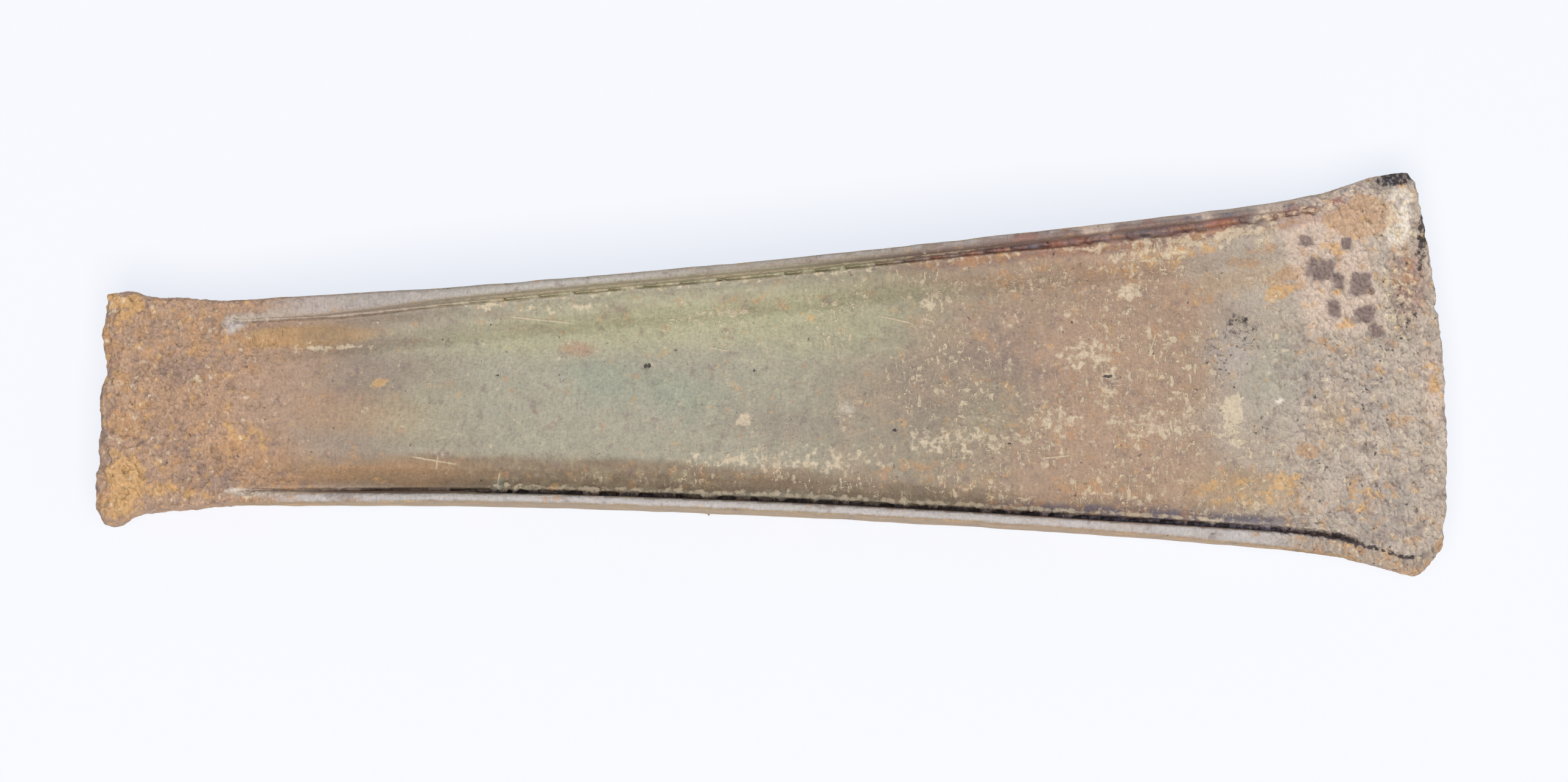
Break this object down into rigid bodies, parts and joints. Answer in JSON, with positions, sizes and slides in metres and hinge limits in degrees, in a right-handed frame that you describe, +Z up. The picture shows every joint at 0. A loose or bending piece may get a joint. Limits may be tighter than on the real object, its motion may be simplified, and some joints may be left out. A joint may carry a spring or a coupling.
{
  "type": "flanged axe head",
  "caption": "Long, narrow cast bronze axe head with low side flanges on both faces, widening from a blunt, splayed butt to a shallow curved cutting edge.",
  "frame": {"origin": "centre of the bounding box's underside: mid length, mid width, on the surface the head lies on", "axes": "+X from the butt to the cutting edge, +Y across the face to the head's left side, +Z up through the thickness"},
  "size_m": [0.175, 0.0524, 0.018],
  "materials": {
    "patinated_bronze": "old tin bronze under a smooth green-brown to rust-brown patina, with rough earthy crust at the butt and the edge"
  },
  "bodies": {
    "root": {"axe_head": "patinated_bronze"}
  },
  "joints": []
}
